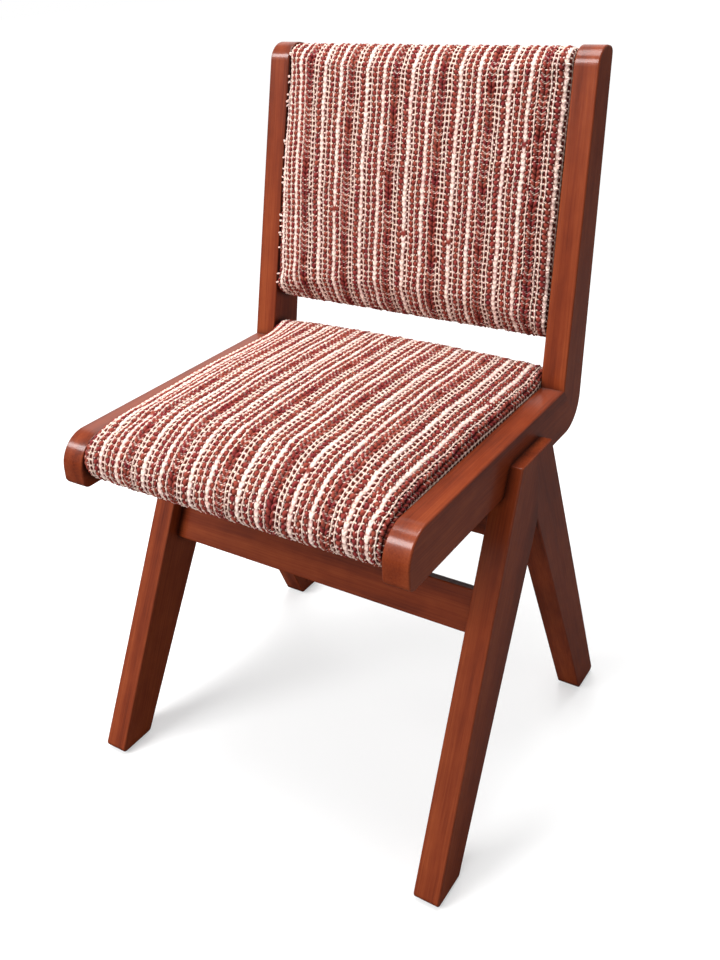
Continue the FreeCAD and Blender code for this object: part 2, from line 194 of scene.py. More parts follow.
class Shader:
    """A material's node tree, with short ways to add and join its nodes."""

    def __init__(self, name: str) -> None:
        """Start an empty material that has a surface shader and an output."""
        self.material = bpy.data.materials.new(name)
        self.material.use_nodes = True
        self.tree = self.material.node_tree
        self.tree.nodes.clear()
        self.surface = self.add("ShaderNodeBsdfPrincipled")
        output = self.add("ShaderNodeOutputMaterial")
        self.tree.links.new(self.surface.outputs["BSDF"], output.inputs["Surface"])

    def put(self, socket: Socket, value: Any) -> None:
        """Link a socket to another one, or set it to a constant."""
        if isinstance(value, Socket):
            self.tree.links.new(value, socket)
        elif isinstance(value, tuple) and len(value) == 3 and socket.type == "RGBA":
            socket.default_value = (*value, 1.0)
        else:
            socket.default_value = value

    def add(self, kind: str, inputs: dict[Any, Any] | None = None,
            **settings: Any) -> bpy.types.Node:
        """Add a node.

        Args:
            kind: Blender's name of the node type.
            inputs: Values or sockets for its inputs, by name or number.
            settings: Properties of the node itself.

        Returns:
            The node.
        """
        node = self.tree.nodes.new(kind)
        for key, value in settings.items():
            setattr(node, key, value)
        for key, value in (inputs or {}).items():
            self.put(node.inputs[key], value)
        return node

    def finish(self, **inputs: Any) -> Material:
        """Set inputs of the surface shader, with underscores for spaces in their names."""
        for key, value in inputs.items():
            self.put(self.surface.inputs[key.replace("_", " ")], value)
        return self.material

    def noise(self, vector: Any, scale: float, detail: float = 3.0, roughness: float = 0.5,
              distortion: float = 0.0) -> Socket:
        """Smooth random value from 0 to 1."""
        return self.add("ShaderNodeTexNoise", {
            "Vector": vector, "Scale": scale, "Detail": detail, "Roughness": roughness,
            "Distortion": distortion}).outputs["Fac"]

    def ramp(self, factor: Any, stops: Sequence[tuple[float, Colour]]) -> Socket:
        """Colour ramp through the given stops."""
        node = self.add("ShaderNodeValToRGB", {"Fac": factor})
        elements = node.color_ramp.elements
        while len(elements) < len(stops):
            elements.new(1.0)
        for element, (place, colour) in zip(elements, stops):
            element.position = place
            element.color = (*colour, 1.0)
        return node.outputs["Color"]

    def spread(self, value: Any, low: float, high: float, to_low: float,
               to_high: float) -> Socket:
        """Map a range of values onto another one, held at its ends."""
        return self.add("ShaderNodeMapRange", {
            "Value": value, "From Min": low, "From Max": high, "To Min": to_low,
            "To Max": to_high}).outputs["Result"]

    def mix(self, factor: Any, first: Any, second: Any, mode: str = "MIX") -> Socket:
        """Mix two colours."""
        return self.add("ShaderNodeMix", {0: factor, 6: first, 7: second}, data_type="RGBA",
                        blend_type=mode).outputs[2]

    def sum(self, first: Any, second: Any, operation: str = "ADD") -> Socket:
        """Sum of two values, or what another operation makes of them."""
        return self.add("ShaderNodeMath", {0: first, 1: second},
                        operation=operation).outputs["Value"]

    def times(self, first: Any, second: Any) -> Socket:
        """Product of two values."""
        return self.sum(first, second, "MULTIPLY")

    def bump(self, height: Any, strength: float, depth: float) -> Socket:
        """Normal of a surface with the given relief."""
        return self.add("ShaderNodeBump", {
            "Height": height, "Strength": strength, "Distance": depth}).outputs["Normal"]

    def spot(self) -> Socket:
        """Object coordinates."""
        return self.add("ShaderNodeTexCoord").outputs["Object"]

    def timber(self, turn: Corner, shift: Corner, length: float) -> Socket:
        """Object coordinates, turned and moved, and then scaled along Z alone."""
        turned = self.add("ShaderNodeMapping", {
            "Vector": self.spot(), "Rotation": turn, "Location": shift}).outputs[0]
        return self.add("ShaderNodeMapping", {
            "Vector": turned, "Scale": (1.0, 1.0, length)}).outputs[0]


# Finishes


@dataclass(frozen=True)
class WoodFinish:
    """Wood with straight grain, stained or bare.

    The shares are those of streaks, rings, fibres, blotches and mottle in its figure. Its corners
    and joins get painted shade.
    """

    name: str
    dark: Colour
    middle: Colour
    light: Colour
    roughness: float
    coat: float
    coat_roughness: float
    grain_depth: float
    shares: tuple[float, ...] = (0.17, 0.12, 0.34, 0.34, 0.20)
    stops: tuple[float, float, float] = (0.385, 0.58, 0.755)
    # Reach and depth of the painted shade in corners
    painted_shade_reach: float = 14 * MM
    corner_shade: float = 0.22

    def material(self, turn: Corner, shift: Corner, label: str) -> Material:
        """Make the finish for one direction of the grain.

        Args:
            turn: Rotation that brings the grain to the Z axis, in radians.
            shift: Place in the timber, so that no two pieces show the same grain.
            label: Ending of the material's name.

        Returns:
            The material.
        """
        shader = Shader(f"{self.name}_{label}")
        figure, threads, patches, flecks = (
            shader.timber(turn, shift, length) for length in (0.07, 0.022, 0.35, 0.6))
        streaks = shader.noise(figure, 26.0, 4.0, 0.55, 0.25)
        rings = shader.add("ShaderNodeTexWave", {
            "Vector": figure, "Scale": 11.0, "Distortion": 5.0, "Detail": 3.0,
            "Detail Scale": 1.2}, wave_type="BANDS").outputs["Fac"]
        fibres = shader.noise(threads, 520.0, 3.0, 0.6)
        pores = shader.noise(threads, 1150.0, 1.0, 0.5)
        blotches = shader.noise(patches, 9.0, 2.0)
        mottle = shader.noise(flecks, 48.0, 3.0, 0.6)
        parts = (streaks, rings, fibres, blotches, mottle)
        tone = reduce(shader.sum, map(shader.times, parts, self.shares))
        stain = list(zip(self.stops, (self.dark, self.middle, self.light)))
        pits = shader.spread(pores, 0.62, 0.74, 0.0, 0.32)
        colour = shader.mix(pits, shader.ramp(tone, stain), self.dark)
        # Painted shade: ambient occlusion darkens the colour towards a deep tone of the stain in
        # corners and where parts meet
        corner = shader.add("ShaderNodeAmbientOcclusion", {"Distance": self.painted_shade_reach},
                            samples=8).outputs["AO"]
        painted_shade_colour = tuple(self.corner_shade * part for part in self.dark)
        colour = shader.mix(shader.spread(corner, 0.45, 0.85, 0.9, 0.0), colour, painted_shade_colour)
        gloss = shader.spread(streaks, 0.3, 0.7, self.roughness - 0.04, self.roughness + 0.05)
        relief = shader.sum(fibres, shader.times(pits, -1.2))
        normal = shader.bump(relief, 0.12, self.grain_depth)
        return shader.finish(
            Base_Color=colour, Roughness=gloss, Normal=normal, Coat_Weight=self.coat,
            Coat_Roughness=self.coat_roughness, Specular_IOR_Level=0.07)


@dataclass(frozen=True)
class SpeckledFinish:
    """Plain moulded, foamed, plated or felted material with a fine speckle."""

    name: str
    first: Colour
    second: Colour
    grain: float
    depth: float
    roughness: float
    metallic: float = 0.0
    sheen: float = 0.0

    def material(self) -> Material:
        """Make the finish."""
        shader = Shader(self.name)
        spot = shader.spot()
        speckle = shader.noise(spot, self.grain, 4.0, 0.6)
        clouds = shader.noise(spot, self.grain / 14, 2.0)
        tone = shader.sum(shader.times(speckle, 0.6), shader.times(clouds, 0.4))
        colour = shader.ramp(tone, [(0.36, self.first), (0.64, self.second)])
        gloss = shader.spread(speckle, 0.3, 0.7, self.roughness - 0.06, self.roughness + 0.06)
        normal = shader.bump(speckle, 0.35, self.depth)
        return shader.finish(Base_Color=colour, Roughness=gloss, Normal=normal,
                             Metallic=self.metallic, Sheen_Weight=self.sheen)


PLATED_STEEL = SpeckledFinish("plated_steel", (0.46, 0.45, 0.42), (0.62, 0.61, 0.57), grain=900.0,
                              depth=0.0001, roughness=0.34, metallic=1.0)


# Cloth


class Yarn(Enum):
    """What runs along one column of the cloth."""

    CORD = "thick cream cord"
    THREAD = "thin cream thread"
    LOOPS = "row of plump red loops"
    BRAID = "pair of leaning rows of red loops"
    LADDER = "open ground crossed by cream rungs"


CREAM_YARNS = (Yarn.CORD, Yarn.THREAD)
STRIPE: tuple[tuple[Yarn, float], ...] = (
    (Yarn.CORD, 5.8), (Yarn.LADDER, 2.4), (Yarn.THREAD, 2.5), (Yarn.LOOPS, 5.0),
    (Yarn.THREAD, 2.5), (Yarn.LOOPS, 4.6), (Yarn.CORD, 5.6), (Yarn.LOOPS, 4.6),
    (Yarn.THREAD, 2.4), (Yarn.BRAID, 11.0), (Yarn.THREAD, 2.5), (Yarn.LADDER, 2.2),
    (Yarn.THREAD, 2.5), (Yarn.LOOPS, 6.2))
STEPS = {Yarn.CORD: 6, Yarn.THREAD: 4, Yarn.LOOPS: 7, Yarn.BRAID: 12, Yarn.LADDER: 4}
YARN_RISE = {Yarn.CORD: 2.4 * MM, Yarn.THREAD: 2.7 * MM, Yarn.LOOPS: 3.0 * MM,
             Yarn.BRAID: 3.1 * MM, Yarn.LADDER: 2.0 * MM}
TICK_RISE = 2.9 * MM
NOTCH_RISE = 1.3 * MM
LINE_FACTS = ("u", "t", "yarn", "column", "width", "left", "right")


@dataclass(frozen=True)
class ClothFinish:
    """Colour and light of the looped yarn. The colours of the columns, with painted shade between
    the yarns, come with the mesh.
    """

    name: str = "striped_cloth"
    cream: Colour = (0.97, 0.78, 0.70)
    pale: Colour = (0.98, 0.88, 0.80)
    blush: Colour = (0.93, 0.65, 0.60)
    rosy: Colour = (0.96, 0.93, 0.93)
    warm: Colour = (1.02, 0.96, 0.93)
    # Painted shade: the colour that the cords take in their creases
    crease: Colour = (0.62, 0.26, 0.22)
    red: Colour = (0.246, 0.044, 0.036)
    brick: Colour = (0.292, 0.066, 0.046)
    wine: Colour = (0.208, 0.030, 0.034)
    ground: Colour = (0.060, 0.007, 0.005)
    pink_tint: Colour = (1.0, 0.90, 0.93)
    yellow_tint: Colour = (1.0, 1.0, 0.92)

    def material(self) -> Material:
        """Make the finish, which reads the yarn colour and the cloth's own map."""
        shader = Shader(self.name)
        colour = shader.add("ShaderNodeVertexColor", layer_name="yarn").outputs["Color"]
        spot = shader.add("ShaderNodeUVMap", uv_map="cloth").outputs["UV"]
        stretched = shader.add("ShaderNodeMapping", {
            "Vector": spot, "Scale": (1.0, 0.45, 1.0)}).outputs[0]
        fibres = shader.noise(stretched, 1500.0, 3.0, 0.65, 0.6)
        tufts = shader.noise(spot, 420.0, 2.0, 0.6)
        clouds = shader.noise(spot, 230.0, 2.0, 0.6)
        fibre_shade = shader.spread(fibres, 0.25, 0.75, 0.70, 1.22)
        tuft_shade = shader.spread(tufts, 0.3, 0.7, 0.78, 1.16)
        tint = shader.ramp(clouds, [(0.36, self.pink_tint), (0.64, self.yellow_tint)])
        for shade in (fibre_shade, tuft_shade, tint):
            colour = shader.mix(1.0, colour, shade, "MULTIPLY")
        gloss = shader.spread(fibres, 0.2, 0.8, 0.95, 0.74)
        normal = shader.bump(shader.sum(fibres, tufts), 0.55, 0.0006)
        return shader.finish(
            Base_Color=colour, Roughness=gloss, Normal=normal, Sheen_Weight=0.01,
            Sheen_Tint=(0.9, 0.45, 0.38), Sheen_Roughness=0.5, Specular_IOR_Level=0.0)


@dataclass
class StripedCloth:
    """A striped cloth with a real relief: columns of yarn side by side, each with its loops."""

    repeat: float
    pitch: float
    centre: float
    steps: int
    seed: int
    finish: ClothFinish = ClothFinish()
    skew: float = 0.0
    fan: float = 0.0

    def columns(self, half: float) -> Lines:
        """Lay the columns of yarn side by side.

        Args:
            half: How far the cloth reaches to each side of its middle.

        Returns:
            For each line of vertices: its place u, its place t across its column from -1 to 1,
            its yarn, the number and width of its column, and whether cream yarn lies to its
            left and right.
        """
        scale = self.repeat / sum(width for yarn, width in STRIPE)
        start = self.centre - STRIPE[0][1] * scale / 2
        edge = start + math.floor((-half - start) / self.repeat) * self.repeat
        found: list[tuple[float, ...]] = []
        index = 0
        while edge < half:
            yarn, width = STRIPE[index % len(STRIPE)]
            width *= scale
            left, right = (STRIPE[(index + side) % len(STRIPE)][0] in CREAM_YARNS
                           for side in (-1, 1))
            for step in range(STEPS[yarn]):
                t = -math.cos(math.pi * step / STEPS[yarn])
                u = edge + width * (t + 1) / 2
                found.append((u, t, list(Yarn).index(yarn), index, width, left, right))
            edge += width
            index += 1
        facts = np.array(found).T
        facts = facts[:, np.abs(facts[0]) < half - 0.2 * MM]
        first, last = facts[:, :1].copy(), facts[:, -1:].copy()
        first[:2, 0] = -half, -1.0
        last[:2, 0] = half, 1.0
        return dict(zip(LINE_FACTS, np.hstack([first, facts, last])))

    def relief(self, lines: Lines, v: Array) -> tuple[Array, Array]:
        """Height and colour of the yarn at each vertex, with painted shade where the yarn lies low.

        Args:
            lines: The columns, as from columns().
            v: Places along the yarn.

        Returns:
            Heights, and colours with painted shade, for each (line, place).
        """
        random = np.random.default_rng(self.seed)
        look = self.finish
        column = lines["column"].astype(int)
        yarn = lines["yarn"].astype(int)
        count = int(column.max()) + 1
        picks = int(v.max() / self.pitch) + 5
        slip, slant, turn = (
            random.uniform(-1.0, 1.0, count)[column][:, None] for draw in range(3))
        tone, size, worn, patch, strong, lean = (
            random.uniform(0.0, 1.0, (count, picks)) for draw in range(6))
        for shift in (1, 2, 3):
            patch[:, shift:] += random.uniform(0.6, 1.0) * patch[:, :-shift]
        patch = (patch - patch.min()) / (patch.max() - patch.min())

        # Where each loop begins and ends
        cord, thread, loops, braid, ladder = (
            (yarn == number)[:, None] for number in range(len(Yarn)))
        is_cream, is_red = cord | thread, loops | braid
        t = np.broadcast_to(lines["t"][:, None], (len(yarn), len(v)))
        off = np.abs(t)
        wander = 0.15 * np.sin(v / (31 * MM) + 5 * turn) + 0.10 * np.sin(v / (12 * MM) + 9 * turn)
        straight = v / self.pitch + 0.16 * slip + wander + 1.5
        phase = straight + np.where(loops, 0.20 * slant * t - 0.20 * t * t, 0.0)
        phase = phase + np.where(braid, 0.18 * (t > 0) - 0.75 * off, 0.0)
        phase = phase + np.where(cord, 0.5 + 0.18 * slant - 0.55 * off, 0.0)
        pick = np.clip(np.floor(phase).astype(int), 0, picks - 1)
        swing = np.abs(np.sin(math.pi * phase))
        tone, size, worn, patch, strong, lean = (
            chance[column[:, None], pick] for chance in (tone, size, worn, patch, strong, lean))

        # Heights
        plump = 0.66 + 0.34 * swing ** 0.5
        swelled = (0.12 + 0.88 * swing ** 0.6) * (0.80 + 0.30 * size)
        thick = (0.48 + 0.52 * swing ** 0.7) * (0.80 + 0.34 * size)
        rung = np.exp(-((phase - np.rint(phase)) / 0.13) ** 2) * (0.55 + 0.45 * worn)
        window = 0.5 * self.dome(t) * swing ** 0.6
        shape = np.select([loops, braid, cord, thread], [
            self.dome(t / plump) * swelled,
            self.dome((2 * off - 1) / plump) * swelled,
            self.dome(t / thick) * (0.30 + 0.70 * swing ** 0.6) * (0.70 + 0.30 * size),
            self.dome(t / (1.0 - 0.45 * swing)) * (1.0 - 0.25 * swing),
        ], np.maximum(rung, window))
        rise = np.array([YARN_RISE[kind] for kind in Yarn])[yarn][:, None]
        notch = is_cream & (shape <= 0)
        height = np.where(notch, NOTCH_RISE, shape * rise)

        # Colours
        red = self.blend(tone, look.wine, look.red, look.brick)
        cream = self.blend(patch, look.blush, look.cream, look.pale)
        cream = cream * np.where(cord[..., None], look.rosy, look.warm)
        covered = is_cream & (worn > 0.994)
        # Painted shade: the red that shows in a cord's notches is a quarter darker
        bare = np.where(notch[..., None], 0.75 * red, cream)
        bare = np.where(is_cream[..., None], bare, look.ground)
        colour = np.where((is_red | covered)[..., None], red, bare)
        # Painted shade: the open ground between the ladder's rungs is red darkened to a third
        rungs = 0.34 * red + (cream - 0.34 * red) * np.clip(2.0 * rung - 0.25, 0, 1)[..., None]
        colour = np.where(ladder[..., None], rungs, colour)

        # Cream ticks that reach over the red loops
        side = np.where(t < 0, lines["left"][:, None], lines["right"][:, None]).astype(float)
        reach = 1 - 3.6 * MM / lines["width"][:, None]
        crossing = np.abs(np.sin(math.pi * (straight + 0.9 * (lean - 0.5) * (1 - off))))
        barb = np.clip((off - reach) / (1 - reach) * 1.8, 0, 1) * np.clip(1 - crossing / 0.36, 0, 1)
        barb = np.clip(is_red * side * (0.30 + 1.15 * strong) * barb, 0, 1)
        tick = np.clip(1 - swing / 0.30, 0, 1) * np.clip(1.3 * strong - 0.40, 0, 0.8)
        barb = np.maximum(barb, braid * tick * np.clip((0.86 - off) / 0.1, 0, 1))
        height = np.maximum(height, barb * TICK_RISE)

        # Painted shade: the colour darkens where the yarn lies low between the loops, and the cords
        # turn pinkish in their creases
        depth = np.clip(height / (0.80 * rise), 0, 1)
        crease = (cord & ~notch) * np.clip(1 - 1.15 * depth, 0, 1)
        colour = colour + (look.crease - colour) * (0.85 * crease)[..., None]
        cream_shade = np.where(is_cream, 0.56 + 0.44 * depth, 0.8 + 0.2 * depth)
        colour = colour * np.where(is_red, 0.05 + 1.06 * depth ** 1.5, cream_shade)[..., None]
        colour = colour + (cream - colour) * np.clip(barb * 2.2, 0, 1)[..., None]
        return height, colour

    @staticmethod
    def dome(places: Array) -> Array:
        """Height of a round yarn across its width."""
        return np.sqrt(np.clip(1 - places * places, 0, 1))

    @staticmethod
    def blend(tone: Array, low: Colour, middle: Colour, high: Colour) -> Array:
        """Colour between three, by a tone from 0 to 1."""
        channels = [np.interp(tone, [0.0, 0.4, 1.0], parts) for parts in zip(low, middle, high)]
        return np.stack(channels, axis=-1)


# Padded forms


def rounded_path(corners: Sequence[Corner], fineness: int = 24) -> Array:
    """Points along a path whose corners are rounded.

    Args:
        corners: Places in the plane, each with the radius of its corner.
        fineness: Number of points on each arc.

    Returns:
        The points, one row each.
    """
    places = [np.array(corner[:2]) for corner in corners]
    path = [places[0]]
    for before, here, after, corner in zip(places, places[1:], places[2:], corners[1:]):
        radius = corner[2]
        to_before, to_after = unit(before - here), unit(after - here)
        half = math.acos(float(np.clip(to_before @ to_after, -1, 1))) / 2
        middle = here + unit(to_before + to_after) * radius / math.sin(half)
        first, last = (here + way * radius / math.tan(half) - middle
                       for way in (to_before, to_after))
        for share in np.linspace(0, 1, fineness):
            path.append(middle + unit(first * (1 - share) + last * share) * radius)
    path.append(places[-1])
    return np.array(path)


def spaced(path: Array, count: int) -> tuple[Array, Array, float]:
    """Points at even distances along a path.

    Args:
        path: The path's points.
        count: Number of steps.

    Returns:
        The points, their outward normals to the left of the way along, and the path's length.
    """
    steps = np.linalg.norm(np.diff(path, axis=0), axis=1)
    run = np.concatenate([[0], np.cumsum(steps)])
    at = np.linspace(0, run[-1], count + 1)
    points = np.stack([np.interp(at, run, path[:, k]) for k in range(2)], axis=1)
    way = unit(np.gradient(points, axis=0))
    return points, np.stack([-way[:, 1], way[:, 0]], axis=1), float(run[-1])


def cubic_weights(places: Array, count: int) -> Array:
    """Weights that read a smooth curve through evenly spaced points.

    Args:
        places: Where to read, from 0 to 1.
        count: Number of steps between the points.

    Returns:
        One row of weights over the points for each place.
    """
    spot = np.clip(places, 0, 1) * count
    cell = np.minimum(spot.astype(int), count - 1)
    x = spot - cell
    parts = [(-x + 2 * x ** 2 - x ** 3) / 2, (2 - 5 * x ** 2 + 3 * x ** 3) / 2,
             (x + 4 * x ** 2 - 3 * x ** 3) / 2, (-x ** 2 + x ** 3) / 2]
    weights = np.zeros((len(places), count + 1))
    for shift, part in zip((-1, 0, 1, 2), parts):
        np.add.at(weights, (np.arange(len(places)), np.clip(cell + shift, 0, count)), part)
    return weights


SWELL_FRAMES = 20
SWELL_SETTINGS = {
    "quality": 6, "mass": 0.25, "tension_stiffness": 12, "compression_stiffness": 12,
    "shear_stiffness": 5, "bending_stiffness": 1.5, "use_pressure": True,
    "uniform_pressure_force": 4, "vertex_group_mass": "held"}


@dataclass
class PaddedForm:
    """Foam under a stretched cloth: a belt over the form, with rolled sides, that swells."""

    name: str
    half: float
    belt: Sequence[Corner]
    place: Callable[[Array, Array, Array], Array]
    cloth: StripedCloth
    roll: float
    wall: float
    crown: float
    hem: float
    cap: float
    close_at: float
    end_roll: float
    end_crown: float = 0.1
    ease: float = 27 * MM
    cell: float = 9 * MM
    sunk: float = 1.2 * MM

    def across(self, u: Array, roll: Any) -> tuple[Array, Array]:
        """Turn places across the cloth into places on the form.

        Args:
            u: Places across the cloth.
            roll: Radius of the form's side.

        Returns:
            Place across the form, and depth below its belt.
        """
        flat = self.half - roll
        over = np.clip(np.abs(u) - flat, 0, None)
        angle = np.clip(over / roll, 0, QUARTER_TURN)
        x = np.sign(u) * (np.minimum(np.abs(u), flat) + roll * np.sin(angle))
        down = roll * (1 - np.cos(angle)) + np.clip(over - roll * QUARTER_TURN, 0, None)
        return x, down

    @property
    def reach(self) -> float:
        """How far the cloth reaches from its middle, over the rolled side and down the wall."""
        return self.half - self.roll + self.roll * QUARTER_TURN + self.wall

    def coarse(self) -> tuple[Array, Array, float]:
        """Smooth form before it swells.

        Returns:
            Points for each (column, row), how freely each may move, and the belt's length.
        """
        path = rounded_path(self.belt)
        length = float(np.linalg.norm(np.diff(path, axis=0), axis=1).sum())
        rows = round(length / self.cell)
        spots, normals, length = spaced(path, rows)
        u = np.linspace(-self.reach, self.reach, round(2 * self.reach / self.cell) + 1)
        v = np.linspace(0, length, rows + 1)
        from_hem = np.minimum(v, length - v)
        on_top = np.clip((from_hem - self.hem) / self.ease, 0, 1)
        on_top = on_top ** 2 * (3 - 2 * on_top)
        roll = self.end_roll + (self.roll - self.end_roll) * on_top
        x, down = self.across(u[:, None], roll[None, :])
        crown = self.crown * (self.end_crown + (1 - self.end_crown) * on_top)
        depth = down + crown[None, :] * (x / self.half) ** 2
        along, out = (spots[None, :, k] - depth * normals[None, :, k] for k in range(2))
        free_side = np.clip((self.half - np.abs(x)) / (2 * self.cell), 0, 1)
        free_hem = np.clip((from_hem - 0.4 * self.hem) / (2 * self.cell), 0, 1)
        return self.place(x, along, out), free_side * free_hem[None, :], length

    def swell(self, points: Array, freedom: Array) -> Array:
        """Let the cloth of the form swell under pressure while its hems are held.

        Args:
            points: The form's points.
            freedom: How freely each point may move, from 0 to 1.

        Returns:
            The swelled points.
        """
        sheet, order = new_grid(self.name + "_swell", points)
        held = sheet.vertex_groups.new(name="held")
        for number, free in zip(order, freedom.ravel()):
            held.add([int(number)], float(1 - free), "REPLACE")
        settings = sheet.modifiers.new("swell", "CLOTH").settings
        for key, value in SWELL_SETTINGS.items():
            setattr(settings, key, value)
        settings.effector_weights.gravity = 0
        scene = bpy.context.scene
        for number in range(1, SWELL_FRAMES + 1):
            scene.frame_set(number)
        make_active(sheet)
        bpy.ops.object.modifier_apply(modifier="swell")
        moved = read_points(sheet)[order].reshape(points.shape) - points
        scene.frame_set(1)
        bpy.data.objects.remove(sheet)
        distance = np.linalg.norm(moved, axis=2)
        LOG.info("%s swelled by %.1f mm at most, %.1f mm on average", self.name,
                 distance.max() / MM, distance.mean() / MM)
        return points + moved * np.minimum(1, self.cap / np.maximum(distance, 1e-9))[..., None]

    def build(self) -> Piece:
        """Make the finished piece: the swelled form under its cloth, closed behind."""
        points, freedom, length = self.coarse()
        points = self.swell(points, freedom)
        lines = self.cloth.columns(self.reach)
        u = lines["u"]
        rows = round(length / self.cloth.pitch * self.cloth.steps)
        v = np.linspace(0, length, rows + 1)
        along = cubic_weights(v / length, points.shape[1] - 1)
        belts = np.einsum("ijk,bj->bik", points, along, optimize=True)
        hold = np.clip((self.reach - np.abs(u)) / (18 * MM), 0, 1)
        surface = np.empty((len(u), rows + 1, 3))
        for row, place in enumerate(v - length / 2):
            shifted = u + (self.cloth.skew + self.cloth.fan * u) * place * hold
            spots = (shifted + self.reach) / (2 * self.reach)
            surface[:, row] = cubic_weights(spots, points.shape[0] - 1) @ belts[row]
        way_across = unit(np.gradient(surface, axis=0))
        way_along = unit(np.gradient(surface, axis=1))
        normal = unit(np.cross(way_across, way_along))
        height, colour = self.cloth.relief(lines, v)
        inset = self.half - np.abs(self.across(u, self.roll)[0])
        calm = np.clip(inset / (2.5 * MM), 0, 1)[:, None]
        drift = np.zeros(height.shape)
        for share, down, over in ((0.45, 17, 23), (0.35, 6.1, -9), (0.25, 2.4, 4.1)):
            waves = np.sin(v[None, :] / (down * MM) + u[:, None] / (over * MM))
            drift += share * MM * waves
        surface = surface + normal * ((height - self.sunk) * calm)[..., None]
        surface = surface + way_across * (drift * calm)[..., None]
        return self.mesh(surface, colour, u, v, length)

    def mesh(self, surface: Array, colour: Array, u: Array, v: Array, length: float) -> Piece:
        """Turn the cloth's points into a closed mesh with its maps and yarn colours.

        Args:
            surface: Place of each vertex.
            colour: Yarn colour of each vertex, with painted shade.
            u: Places across the cloth.
            v: Places along the cloth.
            length: Length of the belt.

        Returns:
            The finished object.
        """
        piece, order = new_grid(self.name, surface)
        make_active(piece)
        bpy.ops.object.mode_set(mode="EDIT")
        bpy.ops.mesh.select_all(action="SELECT")
        bpy.ops.mesh.region_to_loop()
        bpy.ops.mesh.extrude_edges_move()
        bpy.ops.mesh.edge_face_add()
        bpy.ops.object.mode_set(mode="OBJECT")
        self.close(piece, order.size)

        # Maps and yarn colours, whose painted shade comes from the relief, with the ground's colour
        # on the rim
        total = len(piece.data.vertices)
        cloth_place = np.zeros((total, 2))
        spots = np.stack(np.broadcast_arrays(u[:, None], v[None, :]), axis=-1)
        cloth_place[order] = spots.reshape(-1, 2)
        yarn = np.tile([*self.cloth.finish.ground, 1.0], (total, 1))
        yarn[order, :3] = colour.reshape(-1, 3)
        room = np.array([2 * self.reach, length])
        bake_place = 0.04 + 0.95 * (cloth_place + [self.reach, 0]) / room
        bake_place[order.size:] = 0.02
        corners = np.empty(len(piece.data.loops), dtype=np.int32)
        piece.data.loops.foreach_get("vertex_index", corners)
        layers = piece.data.uv_layers
        for name, places in (("cloth", cloth_place), ("OFBake", bake_place)):
            layer = layers.new(name=name)
            layer.data.foreach_set("uv", places[corners].astype(np.float32).ravel())
        layers.remove(layers["UVMap"])
        attribute = piece.data.color_attributes.new("yarn", "FLOAT_COLOR", "POINT")
        attribute.data.foreach_set("color", yarn.astype(np.float32).ravel())
        piece.data.shade_smooth()
        return piece

    def close(self, piece: Piece, first: int) -> None:
        """Set the rim that was extruded from the cloth's edge on the plane behind the form.

        Args:
            piece: The cloth's object.
            first: Number of the rim's first vertex.
        """
        points = read_points(piece)
        rim = points[first:]
        zero = np.zeros(1)
        origin = self.place(zero, zero, zero)[0]
        outward = self.place(zero, zero, np.ones(1))[0] - origin
        level = (rim - origin) @ outward
        points[first:] = rim + (self.close_at - level)[:, None] * outward
        write_points(piece, points)


# The chair's pieces


